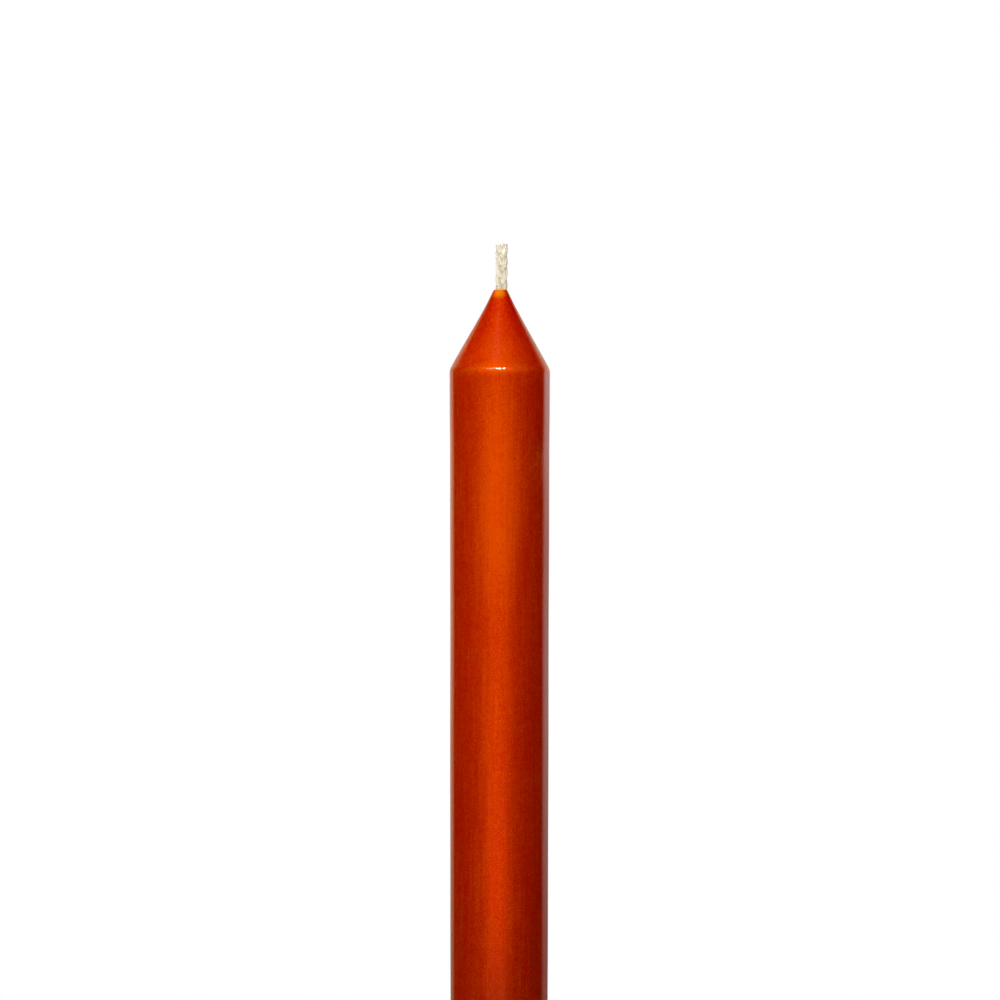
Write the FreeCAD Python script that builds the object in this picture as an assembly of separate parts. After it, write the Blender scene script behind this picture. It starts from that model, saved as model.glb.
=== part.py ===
import FreeCAD, Part
import math
import os

# Dinner candle: a straight round body with a cone-shaped top, cast around a plaited cotton wick.
# Millimetres, +Z up. The origin is the centre of the flat foot, and -Y is the front.

# Driving dimensions of the wax body
candle_diameter = 22.0
wax_length = 250.0
cone_height = 17.4
shoulder_radius = 3.0
tip_edge_radius = 0.12
foot_edge_radius = 0.8

# Driving dimensions of the wick
wick_stub = 9.8
wick_offset = 0.15
tip_land = 0.1
strand_width = 1.1
strand_thickness = 1.0
side_throw = 0.65
depth_throw = 0.4
crossing_haste = 0.2
plait_lay = 7.8
left_bulge_height = 4.5
plait_seat_depth = 1.2
cut_slant_deg = 9.0

# Counts
strand_count = 3
sections_per_lay = 12

# Sizes that follow from them
wick_width = strand_width + 2 * side_throw
wick_thickness = strand_thickness + 2 * depth_throw
tip_radius = wick_width / 2 + wick_offset + tip_land
shoulder_height = wax_length - cone_height
plait_bottom = wax_length - plait_seat_depth
wick_top = wax_length + wick_stub
strand_shift = plait_lay / strand_count

def vec(x, y, z):
    return FreeCAD.Vector(x, y, z)

def circular_edges(solid, height):
    """The full circles of a turned solid that lie at one height."""
    return [
        edge
        for edge in solid.Edges
        if isinstance(edge.Curve, Part.Circle)
        and abs(edge.BoundBox.ZMin - height) < 1e-6
        and abs(edge.BoundBox.ZMax - height) < 1e-6
    ]

def turned_wax():
    """The wax before the wick: its half outline turned round the axis, then its three edges rounded."""
    outline = [
        vec(0, 0, 0),
        vec(candle_diameter / 2, 0, 0),
        vec(candle_diameter / 2, 0, shoulder_height),
        vec(tip_radius, 0, wax_length),
        vec(0, 0, wax_length),
        vec(0, 0, 0),
    ]
    face = Part.Face(Part.makePolygon(outline))
    solid = face.revolve(vec(0, 0, 0), vec(0, 0, 1), 360)
    solid = solid.makeFillet(shoulder_radius, circular_edges(solid, shoulder_height))
    solid = solid.makeFillet(foot_edge_radius, circular_edges(solid, 0))
    return solid.makeFillet(tip_edge_radius, circular_edges(solid, wax_length))

def strand_section(height, angle):
    """A strand's oval outline at one level. It swings side to side once a lay, and front to back twice."""
    centre = vec(
        wick_offset + side_throw * math.sin(angle + crossing_haste * math.sin(2 * angle)),
        -depth_throw * math.sin(2 * angle),
        height,
    )
    ellipse = Part.Ellipse(centre, strand_width / 2, strand_thickness / 2)
    return Part.Wire(ellipse.toShape())

def swinging_strand():
    """One strand, long enough for the copies of it that are shifted down to reach the wick's top."""
    bottom = plait_bottom - wick_width
    top = wick_top + wick_width + strand_shift * (strand_count - 1)
    bulge = wax_length + left_bulge_height
    steps = math.ceil((top - bottom) / plait_lay * sections_per_lay)
    sections = []
    for step in range(steps + 1):
        height = bottom + (top - bottom) * step / steps
        angle = 2 * math.pi * (height - bulge) / plait_lay - math.pi / 2
        sections.append(strand_section(height, angle))
    return Part.makeLoft(sections, True, False)

def trimming_block():
    """The space that the plait is cut to: flat below and slanted above, where the wick was snipped."""
    reach = wick_width * 2
    rise = reach * math.tan(math.radians(cut_slant_deg))
    side = [
        vec(-reach, -reach, plait_bottom),
        vec(reach, -reach, plait_bottom),
        vec(reach, -reach, wick_top + rise),
        vec(-reach, -reach, wick_top - rise),
        vec(-reach, -reach, plait_bottom),
    ]
    block = Part.Face(Part.makePolygon(side)).extrude(vec(0, 2 * reach, 0))
    block.translate(vec(wick_offset, 0, 0))
    return block

def plait():
    """The strands of the wick, each a share of the lay below the last, trimmed and pressed into one."""
    strand = swinging_strand()
    block = trimming_block()
    strands = []
    for number in range(strand_count):
        copy = strand.copy()
        copy.translate(vec(0, 0, -number * strand_shift))
        strands.append(copy.common(block))
    return strands[0].fuse(strands[1:])

def buried_wick():
    """The wick inside the wax, where nothing shows of its plait: the plain oval that the plait fills."""
    ellipse = Part.Ellipse(vec(wick_offset, 0, 0), wick_width / 2, wick_thickness / 2)
    face = Part.Face(Part.Wire(ellipse.toShape()))
    return face.extrude(vec(0, 0, plait_bottom))

def main():
    wick = plait().fuse(buried_wick())
    wax = turned_wax().cut(wick)
    os.makedirs("parts", exist_ok=True)
    for name, shape in (("wax_body", wax), ("wick", wick)):
        if not shape.isValid() or len(shape.Solids) != 1:
            raise ValueError(f"{name} has {len(shape.Solids)} solids, valid: {shape.isValid()}")
        shape.Solids[0].exportStep(f"parts/{name}.step")
        print(name, "volume", round(shape.Volume, 3), "faces", len(shape.Faces))

main()
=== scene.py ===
import math
import random

import bpy
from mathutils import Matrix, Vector


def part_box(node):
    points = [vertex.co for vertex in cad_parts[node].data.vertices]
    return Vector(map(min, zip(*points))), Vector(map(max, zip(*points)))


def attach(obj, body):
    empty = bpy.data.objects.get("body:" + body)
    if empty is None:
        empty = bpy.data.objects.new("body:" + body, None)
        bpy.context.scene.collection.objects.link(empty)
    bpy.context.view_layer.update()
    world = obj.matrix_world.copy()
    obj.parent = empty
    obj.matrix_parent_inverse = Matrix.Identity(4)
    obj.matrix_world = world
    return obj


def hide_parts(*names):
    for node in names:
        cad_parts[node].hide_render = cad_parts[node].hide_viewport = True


# Orange dinner candle: satin wax, cast round a plaited cotton wick, on a pale studio floor.
# Metres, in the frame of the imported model: +Z up, the foot's centre at the origin, -Y towards the camera.

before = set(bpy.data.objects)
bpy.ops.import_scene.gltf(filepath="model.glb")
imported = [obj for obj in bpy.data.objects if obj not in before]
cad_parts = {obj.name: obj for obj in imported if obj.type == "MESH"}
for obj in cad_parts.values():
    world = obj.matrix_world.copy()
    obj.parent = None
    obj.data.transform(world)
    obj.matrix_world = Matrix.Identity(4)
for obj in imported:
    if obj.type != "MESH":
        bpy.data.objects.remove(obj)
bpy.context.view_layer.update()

MM = 0.001
wax_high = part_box("wax_body")[1]
wick_low, wick_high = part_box("wick")

# Wax body
WAX_TOP = wax_high.z
HEAD_RADIUS = wax_high.x
BODY_RADIUS = HEAD_RADIUS - 0.055 * MM
CONE_HEIGHT = 17.4 * MM
SHOULDER_HEIGHT = WAX_TOP - CONE_HEIGHT
SHOULDER_RADIUS = 3.0 * MM
TIP_RADIUS = 1.45 * MM
TIP_EDGE = 0.14 * MM
FOOT_EDGE = 0.8 * MM
FLARE_LOW = SHOULDER_HEIGHT - 17 * MM
FLARE_HIGH = SHOULDER_HEIGHT - 9 * MM
TIP_LEAN = 0.13 * MM
CONE_HOLLOW = 0.16 * MM
HOLLOW_FULL = 4 * MM
HOLLOW_FADES = 6 * MM
HOLLOW_ENDS = 16 * MM
WAX_WAVE = 0.018 * MM
LONG_WAVE_MM = 17
LONG_WAVE_LEAN = 1.3
SHORT_WAVE_MM = 7.3
SHORT_WAVE_SIZE = 0.7
ROUND_WAVE_MM = 29
ROUND_WAVE_SIZE = 0.6
WAX_SIDES = 160
SHOULDER_SEGMENTS = 14
TIP_SEGMENTS = 5
FOOT_SEGMENTS = 8
CONE_CUTS = 26
BODY_CUTS = 110
# the collar round the wick: three steps inwards, each with its rise
COLLAR_STEPS = ((0.12 * MM, -0.04 * MM), (0.16 * MM, 0.04 * MM), (0.3 * MM, 0.06 * MM))
FOOT_INSETS = (4 * MM, 0.5 * MM)
WELL_RIM = 0.08 * MM
WELL_DEPTH = 0.25 * MM
MERGE_DISTANCE = 1e-7
SAME_HEIGHT = 1e-6
RING_MARGIN = 1e-5
FLAT_NORMAL = 0.9999
WAX_SMOOTH_DEG = 40

# Wick
STRAND_COUNT = 3
STRAND_WIDTH = 1.3 * MM
STRAND_THICKNESS = 1.0 * MM
SIDE_THROW = 0.7 * MM
DEPTH_THROW = 0.37 * MM
CROSSING_HASTE = 0.2
PLAIT_LAY = 7.8 * MM
WICK_OFFSET = (wick_low.x + wick_high.x) / 2
WICK_CENTRE = WICK_OFFSET + 0.22 * MM
WICK_WIDTH = wick_high.x - wick_low.x
WICK_THICKNESS = STRAND_THICKNESS + 2 * DEPTH_THROW
LEFT_BULGE = WAX_TOP + 5.0 * MM
PLAIT_BOTTOM = WAX_TOP - 1.2 * MM
WICK_TOP = wick_high.z
WICK_SMOOTH_DEG = 50

# Yarns of a strand, from inside the wax to the snipped end
YARN_RADIUS = 0.32 * MM
YARN_TWIST = 24 * MM
OUTER_YARNS = 5
INNER_YARNS = 2
INNER_DEPTH = 2.2 * YARN_RADIUS
YARN_TONES = 4
TONE_STRIDE = 3
YARN_STEP = 0.13 * MM
YARN_WOBBLE = 0.008 * MM
WOBBLE_HEIGHT = 0.6 * MM
YARN_SWELL = 0.05
SWELL_HEIGHT = 0.5 * MM
CUT_SLANT = 0.08
CUT_RAGGED_MM = 0.22
CUT_TAPER = 0.6
GAP_DEPTH = 0.5 * MM
GAP_EDGES = (0.05 * MM, 0.45 * MM)
SPLAY_HEIGHT = 1.4 * MM
SPLAY_SHARE = 0.2

# Thick yarn ends that the wax holds at the plait's base, left and right of its middle
BASE_SIDES = (-0.42 * MM, 0.38 * MM)
BASE_DEPTH = -0.32 * MM
BASE_HEIGHTS = (PLAIT_BOTTOM, WAX_TOP + 0.2 * MM, WAX_TOP + 0.45 * MM, WAX_TOP + 0.6 * MM)
BASE_SWELLS = (2.1, 2.1, 1.8, 0.9)

# Yarns in the foot, in rows across the wick, with their pitches in yarn radii
FOOT_YARN_RADIUS = 0.125 * MM
FOOT_ROWS = range(-3, 4)
LONGEST_ROW = 9
COLUMN_PITCH = 1.95
ROW_PITCH = 1.72
FOOT_ENDS_MM = (0.1, 0.2)
FOOT_YARN_HEIGHTS = (1.5 * MM, 3 * MM)
FOOT_SWELLS = (0.9, 1, 1)

# Loose fibres
FIBRE_COUNT = 260
FIBRE_RADIUS = 0.008 * MM
FIBRE_LENGTHS_MM = (0.2, 0.5)
FIBRE_ROOT_MM = 0.46
FIBRE_LOWEST = WAX_TOP + 0.6 * MM
FRAYED_LOWEST = WICK_TOP - 0.9 * MM
FIBRE_HIGHEST = WICK_TOP - 0.2 * MM
FIBRE_REACH = (0.25, 0.7)
FIBRE_RISE = (-0.8, 1.2)
FRAYED_RISE = (0.2, 1.4)
FIBRE_CURL = 0.25
FIBRE_SWEEP = 0.2
FIBRE_SHARES = (0, 0.3, 0.6, 0.85, 1)
FIBRE_TAPER = (1, 1, 0.9, 0.7, 0.35)

# Camera, worked out from the photograph: a square frame, the wax tip, the shoulder and the body's edges
IMAGE_SIDE = 1000
FOCAL_PIXELS = 1774
CAMERA_DISTANCE = 390 * MM
CAMERA_PITCH_DEG = 4.2
CAMERA_ROLL_DEG = -0.06
CAMERA_SIDE = 0.06 * MM
SENSOR_WIDTH = 36
NEAREST_SEEN = 10 * MM

DICE_SEED = 7


def deselect_all():
    bpy.ops.object.select_all(action="DESELECT")


def make_active(obj):
    deselect_all()
    obj.select_set(True)
    bpy.context.view_layer.objects.active = obj


def rest_at_origin(obj):
    """The piece's place goes into its mesh."""
    make_active(obj)
    bpy.ops.object.transform_apply(location=True, rotation=True, scale=True)


def select_edges(obj, wanted):
    """In edit mode, selects the edges whose two ends pass the test."""
    bpy.ops.mesh.select_mode(type="EDGE")
    bpy.ops.mesh.select_all(action="DESELECT")
    bpy.ops.object.mode_set(mode="OBJECT")
    points = obj.data.vertices
    for edge in obj.data.edges:
        edge.select = wanted(points[edge.vertices[0]].co, points[edge.vertices[1]].co)
    bpy.ops.object.mode_set(mode="EDIT")


def select_faces(obj, wanted):
    """In edit mode, selects the faces whose centre and normal pass the test."""
    bpy.ops.mesh.select_mode(type="FACE")
    bpy.ops.mesh.select_all(action="DESELECT")
    bpy.ops.object.mode_set(mode="OBJECT")
    for face in obj.data.polygons:
        face.select = wanted(face.center, face.normal)
    bpy.ops.object.mode_set(mode="EDIT")


def ring_at(height):
    """A test for the edges of the level ring at one height."""
    return lambda a, b: abs(a.z - height) < SAME_HEIGHT and abs(b.z - height) < SAME_HEIGHT


def rising_between(low, high):
    """A test for the edges that rise from one ring to the next between two heights."""
    return lambda a, b: (
        abs(a.z - b.z) > SAME_HEIGHT
        and min(a.z, b.z) > low - SAME_HEIGHT
        and max(a.z, b.z) < high + SAME_HEIGHT
    )


def scale_ring(share_x, share_y, height):
    bpy.ops.transform.resize(value=(share_x, share_y, 1), center_override=(0, 0, height))


def smooth_share(value, low, high):
    """0 below low, 1 above high, and an even curve between them."""
    share = min(1, max(0, (value - low) / (high - low)))
    return share * share * (3 - 2 * share)


# Wax body

def wax_blank():
    """A cylinder to the shoulder, drawn up into the cone."""
    bpy.ops.mesh.primitive_cylinder_add(
        vertices=WAX_SIDES,
        radius=HEAD_RADIUS,
        depth=SHOULDER_HEIGHT,
        end_fill_type="NGON",
        location=(0, 0, SHOULDER_HEIGHT / 2),
    )
    wax = bpy.context.object
    wax.name = "candle_wax"
    rest_at_origin(wax)
    bpy.ops.object.mode_set(mode="EDIT")
    select_faces(wax, lambda centre, normal: normal.z > FLAT_NORMAL)
    bpy.ops.mesh.extrude_region_move(TRANSFORM_OT_translate={"value": (0, 0, CONE_HEIGHT)})
    scale_ring(TIP_RADIUS / HEAD_RADIUS, TIP_RADIUS / HEAD_RADIUS, WAX_TOP)
    return wax


def round_the_edges(wax):
    """The shoulder, the tip's rim and the foot's rim are rounded as in the mould."""
    half_turn = math.atan2(HEAD_RADIUS - TIP_RADIUS, CONE_HEIGHT) / 2
    tangent = SHOULDER_RADIUS * math.tan(half_turn)
    for height, offset, segments in (
        (SHOULDER_HEIGHT, tangent, SHOULDER_SEGMENTS),
        (WAX_TOP, TIP_EDGE, TIP_SEGMENTS),
        (0, FOOT_EDGE, FOOT_SEGMENTS),
    ):
        select_edges(wax, ring_at(height))
        bpy.ops.mesh.bevel(offset=offset, segments=segments, affect="EDGES")
    return half_turn


def ring_the_walls(wax, half_turn):
    """Level rings down the cone and the body, for the slight unevenness of the casting."""
    tangent = SHOULDER_RADIUS * math.tan(half_turn)
    cone_foot = SHOULDER_HEIGHT + tangent * math.cos(2 * half_turn)
    select_edges(wax, rising_between(cone_foot - RING_MARGIN, WAX_TOP - TIP_EDGE / 2))
    bpy.ops.mesh.subdivide(number_cuts=CONE_CUTS)
    select_edges(wax, rising_between(FOOT_EDGE - RING_MARGIN, SHOULDER_HEIGHT - tangent + RING_MARGIN))
    bpy.ops.mesh.subdivide(number_cuts=BODY_CUTS)


def wick_seat_at_the_tip(wax):
    """The wax climbs a little round the wick, in a soft collar."""
    select_faces(wax, lambda centre, normal: normal.z > FLAT_NORMAL and centre.z > SHOULDER_HEIGHT)
    for inwards, rise in COLLAR_STEPS:
        bpy.ops.mesh.inset(thickness=inwards)
        bpy.ops.transform.translate(value=(0, 0, rise))


def wick_hole_in_the_foot(wax):
    """A shallow oval well in the foot, where the wick's end shows."""
    select_faces(wax, lambda centre, normal: normal.z < -FLAT_NORMAL)
    for inwards in FOOT_INSETS:
        bpy.ops.mesh.inset(thickness=inwards)
    inner = HEAD_RADIUS - FOOT_EDGE - sum(FOOT_INSETS)
    scale_ring(WICK_WIDTH / 2 / inner, WICK_THICKNESS / 2 / inner, 0)
    bpy.ops.transform.translate(value=(WICK_OFFSET, 0, 0))
    bpy.ops.mesh.inset(thickness=WELL_RIM)
    bpy.ops.transform.translate(value=(0, 0, WELL_DEPTH))


def casting_wave(turn, height_mm):
    """Three slow waves that run up the wall and round it, each with its own length."""
    wave = math.sin(height_mm / LONG_WAVE_MM + LONG_WAVE_LEAN * math.sin(turn))
    wave += SHORT_WAVE_SIZE * math.sin(height_mm / SHORT_WAVE_MM + 2 * turn)
    wave += ROUND_WAVE_SIZE * math.sin(3 * turn + height_mm / ROUND_WAVE_MM)
    return wave


def settle_the_wax(wax):
    """The head is a touch thicker than the body, the cone is slightly hollow, and the whole wall waves."""
    for point in wax.data.vertices:
        radius = math.hypot(point.co.x, point.co.y)
        in_the_foot = radius < 2 * WICK_WIDTH and point.co.z < SHOULDER_HEIGHT
        if in_the_foot:
            continue
        turn = math.atan2(point.co.y, point.co.x)
        below_tip = WAX_TOP - point.co.z
        slimming = (HEAD_RADIUS - BODY_RADIUS) * (1 - smooth_share(point.co.z, FLARE_LOW, FLARE_HIGH))
        calm = smooth_share(below_tip, 0, CONE_HEIGHT) * smooth_share(radius, 0, HEAD_RADIUS)
        hollow = CONE_HOLLOW * smooth_share(below_tip, 0, HOLLOW_FULL)
        hollow *= smooth_share(-below_tip, -HOLLOW_ENDS, -HOLLOW_FADES)
        wave = WAX_WAVE * casting_wave(turn, point.co.z / MM) * calm
        change = wave - slimming * radius / HEAD_RADIUS - hollow
        share = 1 + change / max(radius, MM)
        point.co.x *= share
        point.co.y *= share
        point.co.x += TIP_LEAN * smooth_share(point.co.z, SHOULDER_HEIGHT, WAX_TOP)


def wax_body():
    wax = wax_blank()
    half_turn = round_the_edges(wax)
    ring_the_walls(wax, half_turn)
    wick_seat_at_the_tip(wax)
    wick_hole_in_the_foot(wax)
    bpy.ops.mesh.select_all(action="SELECT")
    bpy.ops.mesh.remove_doubles(threshold=MERGE_DISTANCE)
    bpy.ops.mesh.normals_make_consistent(inside=False)
    bpy.ops.object.mode_set(mode="OBJECT")
    settle_the_wax(wax)
    make_active(wax)
    bpy.ops.object.shade_smooth_by_angle(angle=math.radians(WAX_SMOOTH_DEG))
    return wax


# Wick

def strand_centre(number, height):
    """Where a strand of the plait runs: side to side once a lay, front to back twice."""
    turns = (height - LEFT_BULGE + number * PLAIT_LAY / STRAND_COUNT) / PLAIT_LAY
    angle = 2 * math.pi * turns - math.pi / 2
    side = SIDE_THROW * math.sin(angle + CROSSING_HASTE * math.sin(2 * angle))
    depth = -DEPTH_THROW * math.sin(2 * angle)
    return Vector((WICK_CENTRE + side, depth, height))


def yarn_offset(place, height, spread):
    """Where a yarn lies in its strand: most of them round the outside, a few within, all slowly twisting."""
    outside = place < OUTER_YARNS
    share = place / OUTER_YARNS if outside else (place - OUTER_YARNS + 0.5) / INNER_YARNS
    angle = 2 * math.pi * (share + height / YARN_TWIST)
    depth = YARN_RADIUS if outside else INNER_DEPTH
    across = STRAND_WIDTH / 2 - depth
    deep = STRAND_THICKNESS / 2 - depth
    return Vector((across * math.cos(angle), deep * math.sin(angle), 0)) * spread


def add_spline(curve, points, radii):
    spline = curve.splines.new("POLY")
    spline.points.add(len(points) - 1)
    for target, point, radius in zip(spline.points, points, radii):
        target.co = (*point, 1)
        target.radius = radius
    spline.use_smooth = True


def curve_object(name, thickness, resolution):
    curve = bpy.data.curves.new(name, "CURVE")
    curve.dimensions = "3D"
    curve.bevel_depth = thickness
    curve.bevel_resolution = resolution
    curve.use_fill_caps = True
    obj = bpy.data.objects.new(name, curve)
    bpy.context.scene.collection.objects.link(obj)
    return obj


def cut_height(number, place, dice):
    """Where a yarn is snipped: at a slant, a little ragged, with a gap in the wick's middle."""
    end = strand_centre(number, WICK_TOP) + yarn_offset(place, WICK_TOP, 1)
    across = end.x - WICK_CENTRE
    parting = GAP_DEPTH * (1 - smooth_share(abs(across), *GAP_EDGES))
    return WICK_TOP + CUT_SLANT * across - parting - dice.uniform(0, CUT_RAGGED_MM) * MM


def add_yarn(curve, number, place, dice):
    """One yarn, slightly wavy and uneven, that stands off its strand a little at the cut end."""
    top = cut_height(number, place, dice)
    count = int((top - PLAIT_BOTTOM) / YARN_STEP)
    drift = dice.uniform(0, 2 * math.pi)
    points = []
    radii = []
    for index in range(count + 1):
        height = PLAIT_BOTTOM + (top - PLAIT_BOTTOM) * index / count
        splay = smooth_share(height, WICK_TOP - SPLAY_HEIGHT, WICK_TOP)
        point = strand_centre(number, height) + yarn_offset(place, height, 1 + SPLAY_SHARE * splay)
        wobble = YARN_WOBBLE * math.sin(height / WOBBLE_HEIGHT + drift)
        points.append(point + Vector((wobble, -wobble, 0)))
        radii.append(1 + YARN_SWELL * math.sin(height / SWELL_HEIGHT + 2 * drift))
    radii[-1] *= CUT_TAPER
    add_spline(curve, points, radii)


def plait_yarns(dice):
    """Every yarn of the plait, from inside the wax to the snipped end, where they splay a little."""
    obj = curve_object("wick_plait", YARN_RADIUS, resolution=2)
    # empty material slots, so that each yarn can carry its tone as a material number
    for tone in range(YARN_TONES):
        obj.data.materials.append(None)
    for number in range(STRAND_COUNT):
        for place in range(OUTER_YARNS + INNER_YARNS):
            add_yarn(obj.data, number, place, dice)
            obj.data.splines[-1].material_index = (TONE_STRIDE * place + number) % YARN_TONES
    for side in BASE_SIDES:
        points = [Vector((WICK_CENTRE + side, BASE_DEPTH, height)) for height in BASE_HEIGHTS]
        add_spline(obj.data, points, BASE_SWELLS)
    return obj


def foot_yarns(dice):
    """The wick's yarns where they end in the foot, straight and pressed flat by the cut."""
    obj = curve_object("wick_foot_end", FOOT_YARN_RADIUS, resolution=2)
    for row in FOOT_ROWS:
        columns = LONGEST_ROW - abs(row)
        for column in range(columns):
            across = (column - (columns - 1) / 2) * COLUMN_PITCH * FOOT_YARN_RADIUS
            deep = row * ROW_PITCH * FOOT_YARN_RADIUS
            low = dice.uniform(*FOOT_ENDS_MM) * MM
            heights = (low, *FOOT_YARN_HEIGHTS)
            points = [Vector((WICK_OFFSET + across, deep, height)) for height in heights]
            add_spline(obj.data, points, FOOT_SWELLS)
    return obj


def cotton_fuzz(dice):
    """Short loose fibres that stand off the yarns, more of them at the snipped end."""
    obj = curve_object("wick_fuzz", FIBRE_RADIUS, resolution=1)
    for index in range(FIBRE_COUNT):
        frayed = index % 3 == 0
        height = dice.uniform(FRAYED_LOWEST if frayed else FIBRE_LOWEST, FIBRE_HIGHEST)
        number = dice.randrange(STRAND_COUNT)
        turn = dice.uniform(0, 2 * math.pi)
        out = Vector((math.cos(turn), math.sin(turn), 0))
        start = strand_centre(number, height) + out * FIBRE_ROOT_MM * MM
        length = dice.uniform(*FIBRE_LENGTHS_MM) * MM
        rise = Vector((0, 0, dice.uniform(*(FRAYED_RISE if frayed else FIBRE_RISE))))
        sideways = Vector((-out.y, out.x, 0)) * dice.uniform(-1, 1)
        heading = (out * dice.uniform(*FIBRE_REACH) + rise + sideways).normalized()
        points = []
        for share in FIBRE_SHARES:
            curl = out * (-FIBRE_CURL * share * share) + sideways * (FIBRE_SWEEP * share * share)
            points.append(start + (heading * share + curl) * length)
        add_spline(obj.data, points, FIBRE_TAPER)
    return obj


def to_mesh(obj):
    """A curve made into a closed, smooth mesh with its faces outwards."""
    make_active(obj)
    bpy.ops.object.convert(target="MESH")
    bpy.ops.object.mode_set(mode="EDIT")
    bpy.ops.mesh.select_all(action="SELECT")
    bpy.ops.mesh.remove_doubles(threshold=MERGE_DISTANCE)
    bpy.ops.mesh.normals_make_consistent(inside=False)
    bpy.ops.object.mode_set(mode="OBJECT")
    bpy.ops.object.shade_smooth_by_angle(angle=math.radians(WICK_SMOOTH_DEG))
    return obj


def tone_by_yarn(obj):
    """Each face keeps its yarn's tone, which the spline carried as its material number."""
    tones = obj.data.attributes.new("yarn_tone", "FLOAT", "FACE")
    for face, tone in zip(obj.data.polygons, tones.data):
        tone.value = face.material_index / (YARN_TONES - 1)
        face.material_index = 0


# Material helpers

def link_or_set(tree, socket, value):
    if isinstance(value, bpy.types.NodeSocket):
        tree.links.new(value, socket)
    else:
        socket.default_value = value


def calc(tree, operation, first, second=0.0, third=0.0):
    node = tree.nodes.new("ShaderNodeMath")
    node.operation = operation
    for socket, value in zip(node.inputs, (first, second, third)):
        link_or_set(tree, socket, value)
    return node.outputs[0]


def soft_step(tree, value, low, high):
    """0 at low and 1 at high, with an even curve between them."""
    node = tree.nodes.new("ShaderNodeMapRange")
    node.interpolation_type = "SMOOTHSTEP"
    link_or_set(tree, node.inputs["Value"], value)
    node.inputs["From Min"].default_value = low
    node.inputs["From Max"].default_value = high
    return node.outputs["Result"]


def soft_window(tree, value, low, high, soft):
    """1 between low and high, and 0 outside them."""
    rise = soft_step(tree, value, low - soft, low + soft)
    fall = soft_step(tree, value, high - soft, high + soft)
    return calc(tree, "SUBTRACT", rise, fall)


def mix_colour(tree, share, first, second):
    node = tree.nodes.new("ShaderNodeMix")
    node.data_type = "RGBA"
    link_or_set(tree, node.inputs["Factor"], share)
    link_or_set(tree, node.inputs["A"], first)
    link_or_set(tree, node.inputs["B"], second)
    # the colour sockets come after the number and vector sockets of the same names
    return node.outputs[2]


def noise(tree, vector, scale, detail=2.0, roughness=0.5):
    node = tree.nodes.new("ShaderNodeTexNoise")
    tree.links.new(vector, node.inputs["Vector"])
    node.inputs["Scale"].default_value = scale
    node.inputs["Detail"].default_value = detail
    node.inputs["Roughness"].default_value = roughness
    return node.outputs["Fac"]


def stretched(tree, vector, upright, lean=(0, 0, 0)):
    """A place whose patterns are drawn out up the piece where upright is under 1, and lean if asked."""
    if upright == 1:
        return vector
    node = tree.nodes.new("ShaderNodeMapping")
    tree.links.new(vector, node.inputs["Vector"])
    node.inputs["Scale"].default_value = (1, 1, upright)
    node.inputs["Rotation"].default_value = lean
    return node.outputs["Vector"]


def swing(tree, value, amount):
    """A noise value as a swing about 0."""
    return calc(tree, "MULTIPLY", calc(tree, "SUBTRACT", value, 0.5), amount)


def relief(tree, patterns, layers):
    """Bumps laid over each other. Each layer has its pattern, depth and strength."""
    surface = None
    for name, depth, strength in layers:
        node = tree.nodes.new("ShaderNodeBump")
        tree.links.new(patterns[name], node.inputs["Height"])
        node.inputs["Distance"].default_value = depth
        node.inputs["Strength"].default_value = strength
        if surface is not None:
            tree.links.new(surface, node.inputs["Normal"])
        surface = node.outputs["Normal"]
    return surface


def vector_length(tree, vector):
    node = tree.nodes.new("ShaderNodeVectorMath")
    node.operation = "LENGTH"
    tree.links.new(vector, node.inputs[0])
    return node.outputs["Value"]


def new_material(name):
    material = bpy.data.materials.new(name)
    material.use_nodes = True
    tree = material.node_tree
    return material, tree, tree.nodes["Principled BSDF"]


# Wax

WAX_DEEP = (0.70, 0.004, 0.0001, 1)
WAX_BRIGHT = (0.92, 0.110, 0.0002, 1)
WAX_TIP = (1.0, 0.25, 0.004, 1)
BASE_SHARE = 0.21
# painted light: the front of the wall is brighter than its sides
FRONT_PAINTED_LIGHT = 0.26
# the share of the painted glow along the shoulder that reaches the sides
SIDE_GLOW = 0.3

# Noise over the wax: its upright scale against 1 across, then scale, detail and roughness
WAX_NOISE = {
    "clouds": (0.5, 110, 2, 0.5),
    "mottle": (0.7, 520, 3, 0.5),
    "streaks": (0.025, 2100, 3, 0.6),
    "lines": (0.02, 2600, 2, 0.5),
    "grain": (1, 3600, 2, 0.7),
    "specks": (1, 2400, 1, 0.5),
    "flecks": (0.25, 3200, 1, 0.5),
    "knocks": (1, 2500, 0, 0.5),
    "scuffs_and_glints": (0.4, 2500, 1, 0.5),
}
SCUFFS_AND_GLINTS_LEAN = (0, 0.35, 0)
# Where the noise of the sparse patterns starts to show, and where it is full
WAX_CUTS = {"lines": (0.60, 0.74), "specks": (0.72, 0.80), "scuffs_and_glints": (0.46, 0.54)}
PITS_CUT = (0.52, 0.62)

# Patches of the wax: centre and size. The inner part of a patch is full.
PATCH_CORE = 0.2
# painted light: a brighter patch on the front of the body, below the shoulder
FRONT_LIGHT_PATCH = (
    (-0.3 * MM, -HEAD_RADIUS, SHOULDER_HEIGHT - 26 * MM),
    (8 * MM, 9 * MM, 32 * MM),
)
PITS_AZIMUTH = math.radians(53)
PITTED_SPOT = (
    (
        HEAD_RADIUS * math.sin(PITS_AZIMUTH),
        -HEAD_RADIUS * math.cos(PITS_AZIMUTH),
        SHOULDER_HEIGHT - 20.5 * MM,
    ),
    (3.2 * MM, 3.2 * MM, 6.5 * MM),
)
# painted glow of the thin wax at the front of the tip
TIP_GLOW_PATCH = (
    (-0.1 * MM, -1.4 * MM, WAX_TOP - 0.8 * MM),
    (2.0 * MM, 2.0 * MM, 1.9 * MM),
)
# painted glow of the thin wax round the tip's rim
THIN_RIM = (WAX_TOP - 0.5 * MM, WAX_TOP - 0.05 * MM)
THIN_RIM_SHARE = 0.45
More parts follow.
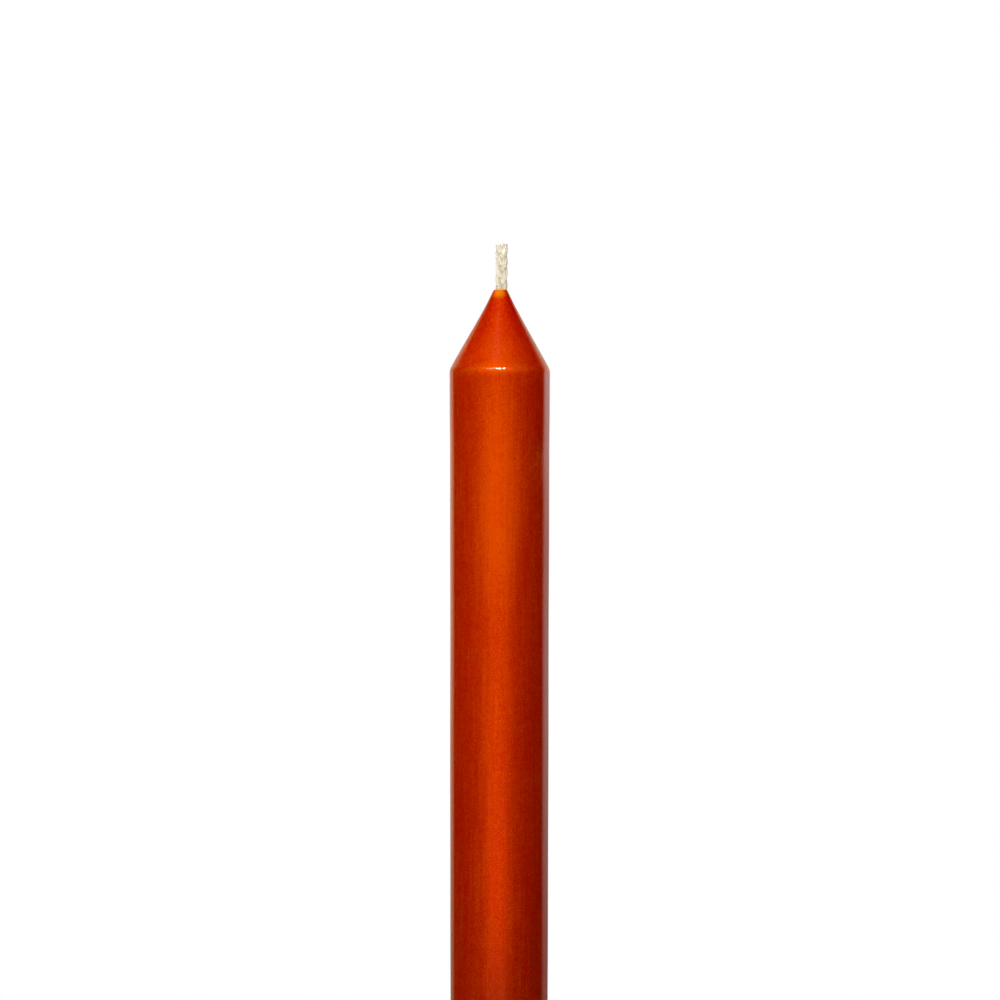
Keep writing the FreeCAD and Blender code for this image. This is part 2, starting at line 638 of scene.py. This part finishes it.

# Millimetres above the shoulder where a region starts and where it is full
# painted light: the body is brighter higher up
UPPER_LIGHT_MM = (-85, -30)
CONE_PART_MM = (2, 9)
CONE_TOP_MM = (5, 13)
# painted shade: the right of the head is deeper
RIGHT_SHADE_MM = (-30, -8)
CONE_SATIN_MM = (0, 3)
HANDLED_MM = (-85, -125)
# Bands round the shoulder, in millimetres above it: low, high and soft edge
# painted glow along the shoulder, painted glow on its ridge, and the line of painted glints on its edge
GLOW_BAND_MM = (-0.5, 6, 3)
RIDGE_GLOW_MM = (-1.0, 1.3, 0.8)
EDGE_LINE_MM = (-0.15, 0.55, 0.25)
RIDGE_MM = (-0.6, 1.4, 0.4)

# Turns round the wall in radians, 0 towards the camera and + to the right: centre, end and full
# the front, the ridge's glow and the edge line mark where light and glints are painted in front
FRONT = (-0.08, 0.75, 0.05)
RIDGE_GLOW_SIDE = (-0.1, 1.1, 0.5)
EDGE_LINE_SIDE = (0.0, 0.9, 0.4)
WORN_RIDGE_SIDE = (0.0, 0.8, 0.5)
HANDLED_SIDE = (0.0, 0.9, 0.5)
# Turns where the regions at the sides start and are full
# painted light at the left edge, painted shade at the right of the head
LEFT_LIGHT_TURNS = (-0.9, -1.2)
RIGHT_SHADE_TURNS = (0.4, 0.9)

# How far each region and pattern moves the wax from its deep to its bright colour
# the lifts in front, at the shoulder, high up, on the ridge, at the left edge and on the edge line are
# painted light, and the drop at the right of the head is painted shade
REGION_LIFTS = {
    "front_glow": 0.33,
    "painted_shoulder_glow": 0.16,
    "upper_part": 0.06,
    "cone_part": 0.01,
    "cone_top": -0.12,
    "painted_ridge_glow": 0.2,
    "left_edge": 0.13,
    "painted_ridge_glints": 0.9,
    "painted_right_shade": -0.1,
}
COLOUR_SWINGS = {"clouds": 0.2, "mottle": 0.25, "streaks": 0.6, "grain": 2.0}
COLOUR_LIFTS = {"lines": 0.25, "specks": 0.5, "pits": 0.8}

BODY_SATIN = 0.46
CONE_SATIN = 0.68
GLOW_SATIN = 0.1
SATIN_SWINGS = {"mottle": 0.1, "streaks": 0.2}
METAL_SHARE = 0.42
THIN_METAL_DROP = 0.36
EDGE_TINT = (1.0, 0.2, 0.0, 1)
LIGHT_SPREAD = (1.0, 0.12, 0.04)
LIGHT_DEPTH = 5 * MM
GLOSS_ROUGHNESS = 0.08
GLOSS_IOR = 2.0
GLOSS_WEAR = 0.8

# Relief of the wax and of its gloss: pattern, depth and strength
WAX_RELIEF = (
    ("streaks", 0.02 * MM, 0.25),
    ("grain", 0.01 * MM, 0.3),
    ("ridge_knocks", 0.06 * MM, 0.6),
)
GLOSS_RELIEF = (
    ("grain", 0.008 * MM, 0.3),
    ("ridge_knocks", 0.03 * MM, 1.0),
    ("pit_flecks", 0.05 * MM, 1.0),
)


def patch(tree, place, centre, size):
    """1 at a point of the wax, fading to 0 at the edge of an oval patch round it."""
    moved = tree.nodes.new("ShaderNodeVectorMath")
    moved.operation = "SUBTRACT"
    tree.links.new(place, moved.inputs[0])
    moved.inputs[1].default_value = centre
    scaled = tree.nodes.new("ShaderNodeVectorMath")
    scaled.operation = "DIVIDE"
    tree.links.new(moved.outputs[0], scaled.inputs[0])
    scaled.inputs[1].default_value = size
    away = vector_length(tree, scaled.outputs[0])
    return calc(tree, "SUBTRACT", 1.0, soft_step(tree, away, PATCH_CORE, 1.0))


def above_shoulder(tree, height, start, full):
    """0 at one height and 1 at another, both in millimetres above the shoulder."""
    return soft_step(tree, height, SHOULDER_HEIGHT + start * MM, SHOULDER_HEIGHT + full * MM)


def shoulder_band(tree, height, low, high, soft):
    """1 between two heights in millimetres above the shoulder, and 0 outside them."""
    return soft_window(tree, height, SHOULDER_HEIGHT + low * MM, SHOULDER_HEIGHT + high * MM, soft * MM)


def facing(tree, turn, centre, end, full):
    """1 near a centre of the wall, and 0 from a wider turn on, to both sides."""
    away = calc(tree, "ABSOLUTE", calc(tree, "SUBTRACT", turn, centre))
    return soft_step(tree, away, end, full)


def wax_patterns(tree, place):
    """The patterns of the cast wax, from broad clouds to fine grain."""
    patterns = {}
    for name, (upright, scale, detail, roughness) in WAX_NOISE.items():
        lean = SCUFFS_AND_GLINTS_LEAN if name == "scuffs_and_glints" else (0, 0, 0)
        moved = stretched(tree, place, upright, lean)
        patterns[name] = noise(tree, moved, scale, detail, roughness)
    for name, (start, full) in WAX_CUTS.items():
        patterns[name] = soft_step(tree, patterns[name], start, full)
    return patterns


def wax_regions(tree, place, height, turn):
    """The regions of the wax that differ in colour, relief or gloss, several of them painted light and
    painted shade.
    """
    regions = {
        "front": facing(tree, turn, *FRONT),
        "front_glow": patch(tree, place, *FRONT_LIGHT_PATCH),
        "pitted": patch(tree, place, *PITTED_SPOT),
        "upper_part": above_shoulder(tree, height, *UPPER_LIGHT_MM),
        "cone_part": above_shoulder(tree, height, *CONE_PART_MM),
        "cone_top": above_shoulder(tree, height, *CONE_TOP_MM),
        "left_edge": soft_step(tree, turn, *LEFT_LIGHT_TURNS),
        "ridge": shoulder_band(tree, height, *RIDGE_MM),
    }
    glow_share = calc(tree, "MULTIPLY_ADD", regions["front"], 1 - SIDE_GLOW, SIDE_GLOW)
    # among these, painted light along the shoulder and on its ridge, the line for painted glints on its edge,
    # and painted shade at the right of the head
    for name, first, second in (
        ("painted_shoulder_glow", shoulder_band(tree, height, *GLOW_BAND_MM), glow_share),
        ("painted_ridge_glow", shoulder_band(tree, height, *RIDGE_GLOW_MM), facing(tree, turn, *RIDGE_GLOW_SIDE)),
        ("edge_line", shoulder_band(tree, height, *EDGE_LINE_MM), facing(tree, turn, *EDGE_LINE_SIDE)),
        ("painted_right_shade", soft_step(tree, turn, *RIGHT_SHADE_TURNS), above_shoulder(tree, height, *RIGHT_SHADE_MM)),
        ("worn_ridge", regions["ridge"], facing(tree, turn, *WORN_RIDGE_SIDE)),
        ("handled", above_shoulder(tree, height, *HANDLED_MM), facing(tree, turn, *HANDLED_SIDE)),
    ):
        regions[name] = calc(tree, "MULTIPLY", first, second)
    return regions


def painted_tip_glow(tree, place, height):
    """Painted glow where the wax is thin: a patch in front at the tip, where the light falls, and the tip's
    rim all round.
    """
    rim = calc(tree, "MULTIPLY", soft_step(tree, height, *THIN_RIM), THIN_RIM_SHARE)
    return calc(tree, "MAXIMUM", patch(tree, place, *TIP_GLOW_PATCH), rim)


def wax_colour(tree, patterns, regions, thin):
    """Deep orange, raised at random by the patterns and deeper near the cone's top. Painted light makes it
    brighter in front, along the shoulder, high up and at the left edge, with painted glints on the shoulder's
    edge and a painted glow, palest, where the wax is thin at the tip; painted shade deepens the right of the
    head.
    """
    # painted light: the wall is brighter towards the front
    share = calc(tree, "MULTIPLY_ADD", regions["front"], FRONT_PAINTED_LIGHT, BASE_SHARE)
    # the region lifts paint light and shade into the colour, apart from the cone's
    for name, amount in REGION_LIFTS.items():
        share = calc(tree, "MULTIPLY_ADD", regions[name], amount, share)
    for name, amount in COLOUR_SWINGS.items():
        share = calc(tree, "ADD", share, swing(tree, patterns[name], amount))
    for name, amount in COLOUR_LIFTS.items():
        share = calc(tree, "MULTIPLY_ADD", patterns[name], amount, share)
    return mix_colour(tree, thin, mix_colour(tree, share, WAX_DEEP, WAX_BRIGHT), WAX_TIP)


def wax_satin(tree, height, patterns, regions):
    """Roughness under the gloss: more on the cone and in the front glow, and streaked all over."""
    on_cone = above_shoulder(tree, height, *CONE_SATIN_MM)
    satin = calc(tree, "MULTIPLY_ADD", on_cone, CONE_SATIN - BODY_SATIN, BODY_SATIN)
    satin = calc(tree, "MULTIPLY_ADD", regions["front_glow"], GLOW_SATIN, satin)
    for name, amount in SATIN_SWINGS.items():
        satin = calc(tree, "ADD", satin, swing(tree, patterns[name], amount))
    return satin


def gloss_weight(tree, patterns, regions):
    """The gloss is worn off the front of the ridge between the scuffed spots, and off the front lower down.
    """
    worn = calc(tree, "MULTIPLY", calc(tree, "SUBTRACT", 1.0, patterns["scuffs_and_glints"]), regions["worn_ridge"])
    worn = calc(tree, "MAXIMUM", worn, regions["handled"])
    return calc(tree, "MULTIPLY_ADD", worn, -GLOSS_WEAR, 1.0)


def wax_material():
    """Satin orange wax with a thin gloss, upright streaks, fine grain and a slightly cloudy colour, into
    which light and shade are painted.
    """
    material, tree, shader = new_material("orange wax")
    place = tree.nodes.new("ShaderNodeTexCoord").outputs["Object"]
    parts = tree.nodes.new("ShaderNodeSeparateXYZ")
    tree.links.new(place, parts.inputs[0])
    height = parts.outputs["Z"]
    forward = calc(tree, "MULTIPLY", parts.outputs["Y"], -1.0)
    turn = calc(tree, "ARCTAN2", parts.outputs["X"], forward)

    patterns = wax_patterns(tree, place)
    regions = wax_regions(tree, place, height, turn)
    pits = soft_step(tree, patterns["flecks"], *PITS_CUT)
    patterns["pits"] = calc(tree, "MULTIPLY", pits, regions["pitted"])
    patterns["pit_flecks"] = calc(tree, "MULTIPLY", patterns["flecks"], regions["pitted"])
    patterns["ridge_knocks"] = calc(tree, "MULTIPLY", swing(tree, patterns["knocks"], 1.0), regions["ridge"])
    # painted glints: pale dots along the front of the shoulder's edge, laid out by the same spots that keep
    # the gloss
    regions["painted_ridge_glints"] = calc(tree, "MULTIPLY", patterns["scuffs_and_glints"], regions["edge_line"])
    thin = painted_tip_glow(tree, place, height)

    tree.links.new(wax_colour(tree, patterns, regions, thin), shader.inputs["Base Color"])
    tree.links.new(wax_satin(tree, height, patterns, regions), shader.inputs["Roughness"])
    # the satin sheen has the wax's own colour, as metal has, and thin wax has less of it
    tree.links.new(calc(tree, "MULTIPLY_ADD", thin, -THIN_METAL_DROP, METAL_SHARE), shader.inputs["Metallic"])
    shader.inputs["Specular IOR Level"].default_value = 0.0
    shader.inputs["Specular Tint"].default_value = EDGE_TINT
    shader.inputs["Subsurface Weight"].default_value = 1.0
    shader.inputs["Subsurface Radius"].default_value = LIGHT_SPREAD
    shader.inputs["Subsurface Scale"].default_value = LIGHT_DEPTH
    shader.inputs["Coat Roughness"].default_value = GLOSS_ROUGHNESS
    shader.inputs["Coat IOR"].default_value = GLOSS_IOR
    tree.links.new(gloss_weight(tree, patterns, regions), shader.inputs["Coat Weight"])
    tree.links.new(relief(tree, patterns, WAX_RELIEF), shader.inputs["Normal"])
    tree.links.new(relief(tree, patterns, GLOSS_RELIEF), shader.inputs["Coat Normal"])
    return material


# Cotton

COTTON_PALE = (0.92, 0.88, 0.76, 1)
COTTON_TAN = (0.82, 0.73, 0.54, 1)
COTTON_SHADE = (0.54, 0.48, 0.34, 1)
COTTON_SOAKED = (0.98, 0.70, 0.42, 1)

# Noise over the cotton: its upright scale against 1 across, then scale and detail
COTTON_NOISE = {
    "patches": (1, 700, 2),
    "flecks": (0.7, 2600, 2),
    "cut_ends": (1, 1500, 1),
    "fibres": (0.3, 9000, 2),
}
COTTON_CUTS = {"patches": (0.32, 0.56), "flecks": (0.58, 0.72), "cut_ends": (0.45, 0.6)}
YARN_SHADE = 0.55
FLECK_SHADE = 0.2
CUT_SHADE = 0.6
CUT_END = (WICK_TOP - 0.9 * MM, WICK_TOP - 0.1 * MM)
SOAKED_END = (WAX_TOP + 0.5 * MM, WAX_TOP + 0.1 * MM)
COTTON_RELIEF = (("fibres", 0.01 * MM, 0.25),)


def cotton_material():
    """Cream cotton, matte, with a tone to each yarn, greyer at the cut and soaked with wax at its base."""
    material, tree, shader = new_material("cream cotton")
    place = tree.nodes.new("ShaderNodeTexCoord").outputs["Object"]
    parts = tree.nodes.new("ShaderNodeSeparateXYZ")
    tree.links.new(place, parts.inputs[0])
    height = parts.outputs["Z"]
    patterns = {}
    for name, (upright, scale, detail) in COTTON_NOISE.items():
        patterns[name] = noise(tree, stretched(tree, place, upright), scale, detail)
    for name, (start, full) in COTTON_CUTS.items():
        patterns[name] = soft_step(tree, patterns[name], start, full)
    yarn_tone = tree.nodes.new("ShaderNodeAttribute")
    yarn_tone.attribute_name = "yarn_tone"
    cut_end = calc(tree, "MULTIPLY", soft_step(tree, height, *CUT_END), patterns["cut_ends"])

    colour = mix_colour(tree, patterns["patches"], COTTON_TAN, COTTON_PALE)
    for shade, amount in (
        (yarn_tone.outputs["Fac"], YARN_SHADE),
        (patterns["flecks"], FLECK_SHADE),
        (cut_end, CUT_SHADE),
    ):
        colour = mix_colour(tree, calc(tree, "MULTIPLY", shade, amount), colour, COTTON_SHADE)
    colour = mix_colour(tree, soft_step(tree, height, *SOAKED_END), colour, COTTON_SOAKED)
    tree.links.new(colour, shader.inputs["Base Color"])
    shader.inputs["Roughness"].default_value = 0.85
    shader.inputs["Specular IOR Level"].default_value = 0.25
    shader.inputs["Sheen Weight"].default_value = 0.2
    shader.inputs["Sheen Roughness"].default_value = 0.5
    tree.links.new(relief(tree, patterns, COTTON_RELIEF), shader.inputs["Normal"])
    return material


# Studio: the paper floor

FLOOR_RADIUS = 230 * MM
FLOOR_FADE = 90 * MM
FLOOR_SIDES = 96
PAPER_TONE = 0.6
PAPER_GLOSS_DIM = 0.95
PAPER_GLOW = 0.58


def floor_material():
    """White paper to the camera, with the candle's shadow on it, fading to plain white at its edge."""
    material = bpy.data.materials.new("white paper")
    material.use_nodes = True
    tree = material.node_tree
    tree.nodes.clear()
    place = tree.nodes.new("ShaderNodeTexCoord").outputs["Object"]
    fade = soft_step(tree, vector_length(tree, place), FLOOR_FADE, FLOOR_RADIUS)
    rays = tree.nodes.new("ShaderNodeLightPath")

    # the wax mirrors dark paper, so that the lower half of the candle keeps its colour
    mirrored = calc(tree, "MULTIPLY_ADD", rays.outputs["Is Glossy Ray"], -PAPER_GLOSS_DIM, 1.0)
    tone = calc(tree, "MULTIPLY", calc(tree, "MULTIPLY_ADD", fade, -PAPER_TONE, PAPER_TONE), mirrored)
    grey = tree.nodes.new("ShaderNodeCombineColor")
    for socket in grey.inputs:
        tree.links.new(tone, socket)
    paper = tree.nodes.new("ShaderNodeBsdfDiffuse")
    tree.links.new(grey.outputs[0], paper.inputs["Color"])

    glow = tree.nodes.new("ShaderNodeEmission")
    glow_level = calc(tree, "MULTIPLY_ADD", fade, 1 - PAPER_GLOW, PAPER_GLOW)
    glow_level = calc(tree, "MULTIPLY", glow_level, rays.outputs["Is Camera Ray"])
    tree.links.new(glow_level, glow.inputs["Strength"])
    both = tree.nodes.new("ShaderNodeAddShader")
    tree.links.new(paper.outputs[0], both.inputs[0])
    tree.links.new(glow.outputs[0], both.inputs[1])

    # the paper is clear from below
    clear = tree.nodes.new("ShaderNodeBsdfTransparent")
    sides = tree.nodes.new("ShaderNodeMixShader")
    tree.links.new(tree.nodes.new("ShaderNodeNewGeometry").outputs["Backfacing"], sides.inputs["Fac"])
    tree.links.new(both.outputs[0], sides.inputs[1])
    tree.links.new(clear.outputs[0], sides.inputs[2])
    output = tree.nodes.new("ShaderNodeOutputMaterial")
    tree.links.new(sides.outputs[0], output.inputs["Surface"])
    return material


def paper_floor():
    deselect_all()
    bpy.ops.mesh.primitive_circle_add(
        vertices=FLOOR_SIDES,
        radius=FLOOR_RADIUS,
        fill_type="NGON",
        location=(0, 0, 0),
    )
    floor = bpy.context.object
    floor.name = "paper_floor"
    floor.data.materials.append(floor_material())


# Studio: the softboxes

SOFTBOX_AZIMUTH_DEG = -6
SOFTBOX_DISTANCE = 600 * MM
UPPER_ELEVATION_DEG = 39
UPPER_SIZE = (440 * MM, 40 * MM)
UPPER_WATTS = 1.5
UPPER_COLOUR = (1, 0.92, 0.76)
LOWER_ELEVATION_DEG = -42
LOWER_SIZE = (360 * MM, 160 * MM)
LOWER_WATTS = 3.2
PLAIN_WHITE = (1, 1, 1)


def soft_light(name, elevation_deg, size, watts, colour):
    """A rectangular soft light that looks at the shoulder from near the camera's azimuth."""
    lamp = bpy.data.lights.new(name, "AREA")
    lamp.shape = "RECTANGLE"
    lamp.size, lamp.size_y = size
    lamp.energy = watts
    lamp.color = colour
    obj = bpy.data.objects.new(name, lamp)
    bpy.context.scene.collection.objects.link(obj)
    azimuth = math.radians(SOFTBOX_AZIMUTH_DEG)
    elevation = math.radians(elevation_deg)
    away = Vector((
        math.sin(azimuth) * math.cos(elevation),
        -math.cos(azimuth) * math.cos(elevation),
        math.sin(elevation),
    ))
    obj.location = Vector((0, 0, SHOULDER_HEIGHT)) + away * SOFTBOX_DISTANCE
    obj.rotation_euler = away.to_track_quat("Z", "Y").to_euler()
    obj.visible_camera = False


def studio_lights():
    """A wide, low softbox above the camera, for the broken line on the shoulder, and one below it."""
    soft_light("upper softbox", UPPER_ELEVATION_DEG, UPPER_SIZE, UPPER_WATTS, UPPER_COLOUR)
    soft_light("lower softbox", LOWER_ELEVATION_DEG, LOWER_SIZE, LOWER_WATTS, PLAIN_WHITE)


# Studio: the world

# Angles are in degrees. Back azimuths are 0 behind the candle, front azimuths are 0 at the camera, and
# both are 90 on the right. A window is its low end, high end, soft edge and level.
SHEET = (-46, 60, 5, 0.40)
SHEET_MIDDLE = (-12, 26, 7, 0.35)
LEFT_STRIP = (-46, -14, 5, 0.33)
RIGHT_STRIP = (30, 55, 6, 0.52)
# The sheet's right part leans in with the height, for the narrow rim of light on the cone
SWING_DEG = 10.0
SWING_ELEVATIONS = (2, 18)
SWING_AZIMUTHS = (-10, 10)
# How the two sides dim with the elevation: where a step starts and is full, and its size
LEFT_LOW_BASE = 0.4
LEFT_LOW = (-22, -5, 0.6)
LEFT_HIGH_BASE = 0.8
LEFT_HIGH = (8, 0, 0.2)
LEFT_TOP = (45, 15)
RIGHT_LOW_BASE = 0.25
RIGHT_LOW = (-20, -10, 0.3)
RIGHT_LEVEL = (-6, 0, 0.45)
RIGHT_TOP = (36, 8)
SIDES_MEET = (-2, 2)
# The light on the cone's right rim is warmer and a little stronger
CONE_SIDE_ELEVATIONS = (2, 12)
CONE_SIDE_AZIMUTHS = (15, 35)
CONE_SIDE_GAIN = 0.25
CONE_SIDE_WARMTH = 0.8
WARM_STRIP = (-22, -43)
STRIP_WHITE = (1, 0.93, 0.82, 1)
STRIP_WARM = (1, 0.62, 0.30, 1)
# A card over the camera, for the veil of light up the front of the cone
CARD = (-30, 0, 12, 0.2)
CARD_HEIGHT = (57.5, 63, 1.5)
# Soft light from round about, for all rays but the mirrored ones
LEFT_FILL = (-140, -50, 10, 0.125)
LEFT_FILL_RISE = (10, 50, 5.0)
FRONT_FILL = (-70, 10, 12, 0.16)
BACK_FILL = (-60, 60, 10, 0.35)
TOP_FILL = (60, 75, 6.0)


def add_window(tree, angle, window, under=0.0):
    """A window's level on top of what is under it."""
    low, high, soft, level = window
    return calc(tree, "MULTIPLY_ADD", soft_window(tree, angle, low, high, soft), level, under)


def add_step(tree, angle, step, under=0.0):
    """A soft step's size on top of what is under it."""
    start, full, size = step
    return calc(tree, "MULTIPLY_ADD", soft_step(tree, angle, start, full), size, under)


def ray_angles(tree):
    """The back azimuth, front azimuth and elevation of a ray, in degrees."""
    direction = tree.nodes.new("ShaderNodeSeparateXYZ")
    tree.links.new(tree.nodes.new("ShaderNodeTexCoord").outputs["Generated"], direction.inputs[0])
    across = direction.outputs["X"]
    forward = calc(tree, "MULTIPLY", direction.outputs["Y"], -1.0)
    azimuth = calc(tree, "DEGREES", calc(tree, "ARCTAN2", across, direction.outputs["Y"]))
    front_azimuth = calc(tree, "DEGREES", calc(tree, "ARCTAN2", across, forward))
    elevation = calc(tree, "DEGREES", calc(tree, "ARCSINE", direction.outputs["Z"]))
    return azimuth, front_azimuth, elevation


def mirrored_studio(tree, azimuth, front_azimuth, elevation):
    """What the gloss mirrors: a grey sheet with a strip at each side, and a card. Gives level and colour."""
    swinging = calc(
        tree, "MULTIPLY",
        soft_step(tree, elevation, *SWING_ELEVATIONS),
        soft_step(tree, azimuth, *SWING_AZIMUTHS),
    )
    swung = calc(tree, "MULTIPLY_ADD", swinging, SWING_DEG, azimuth)
    sheet = add_window(tree, swung, SHEET_MIDDLE, add_window(tree, swung, SHEET))

    left_low = add_step(tree, elevation, LEFT_LOW, LEFT_LOW_BASE)
    left_high = add_step(tree, elevation, LEFT_HIGH, LEFT_HIGH_BASE)
    left_high = calc(tree, "MULTIPLY", left_high, soft_step(tree, elevation, *LEFT_TOP))
    left_side = add_window(tree, swung, LEFT_STRIP, sheet)
    left_side = calc(tree, "MULTIPLY", left_side, calc(tree, "MULTIPLY", left_low, left_high))

    right_low = add_step(tree, elevation, RIGHT_LOW, RIGHT_LOW_BASE)
    right_low = add_step(tree, elevation, RIGHT_LEVEL, right_low)
    right_high = soft_step(tree, elevation, *RIGHT_TOP)
    right_side = add_window(tree, swung, RIGHT_STRIP, sheet)
    right_side = calc(tree, "MULTIPLY", right_side, calc(tree, "MULTIPLY", right_low, right_high))
    cone_side = calc(
        tree, "MULTIPLY",
        soft_step(tree, elevation, *CONE_SIDE_ELEVATIONS),
        soft_step(tree, azimuth, *CONE_SIDE_AZIMUTHS),
    )
    gain = calc(tree, "MULTIPLY_ADD", cone_side, CONE_SIDE_GAIN, 1.0)
    right_side = calc(tree, "MULTIPLY", right_side, gain)

    on_right = soft_step(tree, azimuth, *SIDES_MEET)
    level = calc(tree, "MULTIPLY", left_side, calc(tree, "SUBTRACT", 1.0, on_right))
    level = calc(tree, "MULTIPLY_ADD", right_side, on_right, level)
    card = add_window(tree, front_azimuth, CARD)
    card = calc(tree, "MULTIPLY", card, soft_window(tree, elevation, *CARD_HEIGHT))
    level = calc(tree, "ADD", level, card)

    cone_warmth = calc(tree, "MULTIPLY", cone_side, CONE_SIDE_WARMTH)
    warmth = calc(tree, "MAXIMUM", soft_step(tree, swung, *WARM_STRIP), cone_warmth)
    return level, mix_colour(tree, warmth, STRIP_WHITE, STRIP_WARM)


def fill_level(tree, azimuth, front_azimuth, elevation):
    """The soft light on the candle from the left, the front, the back and the top."""
    left = add_window(tree, azimuth, LEFT_FILL)
    left = calc(tree, "MULTIPLY", left, add_step(tree, elevation, LEFT_FILL_RISE, 1.0))
    front = add_window(tree, front_azimuth, FRONT_FILL)
    back = add_window(tree, azimuth, BACK_FILL)
    top = add_step(tree, elevation, TOP_FILL)
    return calc(tree, "ADD", calc(tree, "ADD", left, front), calc(tree, "ADD", back, top))


def studio_world():
    """White to the camera, the mirrored studio to the gloss, and soft fill light to everything else."""
    world = bpy.data.worlds.new("studio")
    world.use_nodes = True
    world.cycles.sampling_method = "NONE"
    bpy.context.scene.world = world
    tree = world.node_tree
    background = tree.nodes["Background"]
    angles = ray_angles(tree)
    mirrored, mirrored_colour = mirrored_studio(tree, *angles)
    fill = fill_level(tree, *angles)

    rays = tree.nodes.new("ShaderNodeLightPath")
    glossy = rays.outputs["Is Glossy Ray"]
    level = calc(tree, "MULTIPLY", mirrored, glossy)
    level = calc(tree, "MULTIPLY_ADD", calc(tree, "SUBTRACT", 1.0, glossy), fill, level)
    seen = calc(tree, "MAXIMUM", rays.outputs["Is Camera Ray"], rays.outputs["Is Transmission Ray"])
    tree.links.new(calc(tree, "MAXIMUM", level, seen), background.inputs["Strength"])
    colour = mix_colour(tree, glossy, (*PLAIN_WHITE, 1), mirrored_colour)
    tree.links.new(colour, background.inputs["Color"])


# Camera

def photo_camera():
    """The photograph's view: level with the shoulder, pitched down a little."""
    data = bpy.data.cameras.new("camera")
    data.sensor_width = SENSOR_WIDTH
    data.lens = data.sensor_width * FOCAL_PIXELS / IMAGE_SIDE
    data.clip_start = NEAREST_SEEN
    camera = bpy.data.objects.new("camera", data)
    bpy.context.scene.collection.objects.link(camera)
    camera.location = (CAMERA_SIDE, -CAMERA_DISTANCE, SHOULDER_HEIGHT)
    camera.rotation_euler = (
        math.radians(90 - CAMERA_PITCH_DEG),
        math.radians(CAMERA_ROLL_DEG),
        0,
    )
    bpy.context.scene.camera = camera


def main():
    bpy.context.scene.view_settings.view_transform = "Standard"
    dice = random.Random(DICE_SEED)
    photo_camera()
    studio_world()
    studio_lights()
    paper_floor()

    wax = wax_body()
    wax.data.materials.append(wax_material())
    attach(wax, "root")
    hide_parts("wax_body")

    cotton = cotton_material()
    for maker in (plait_yarns, foot_yarns, cotton_fuzz):
        piece = to_mesh(maker(dice))
        if piece.name == "wick_plait":
            tone_by_yarn(piece)
        piece.data.materials.clear()
        piece.data.materials.append(cotton)
        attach(piece, "root")
        if piece.name == "wick_plait":
            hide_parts("wick")


main()
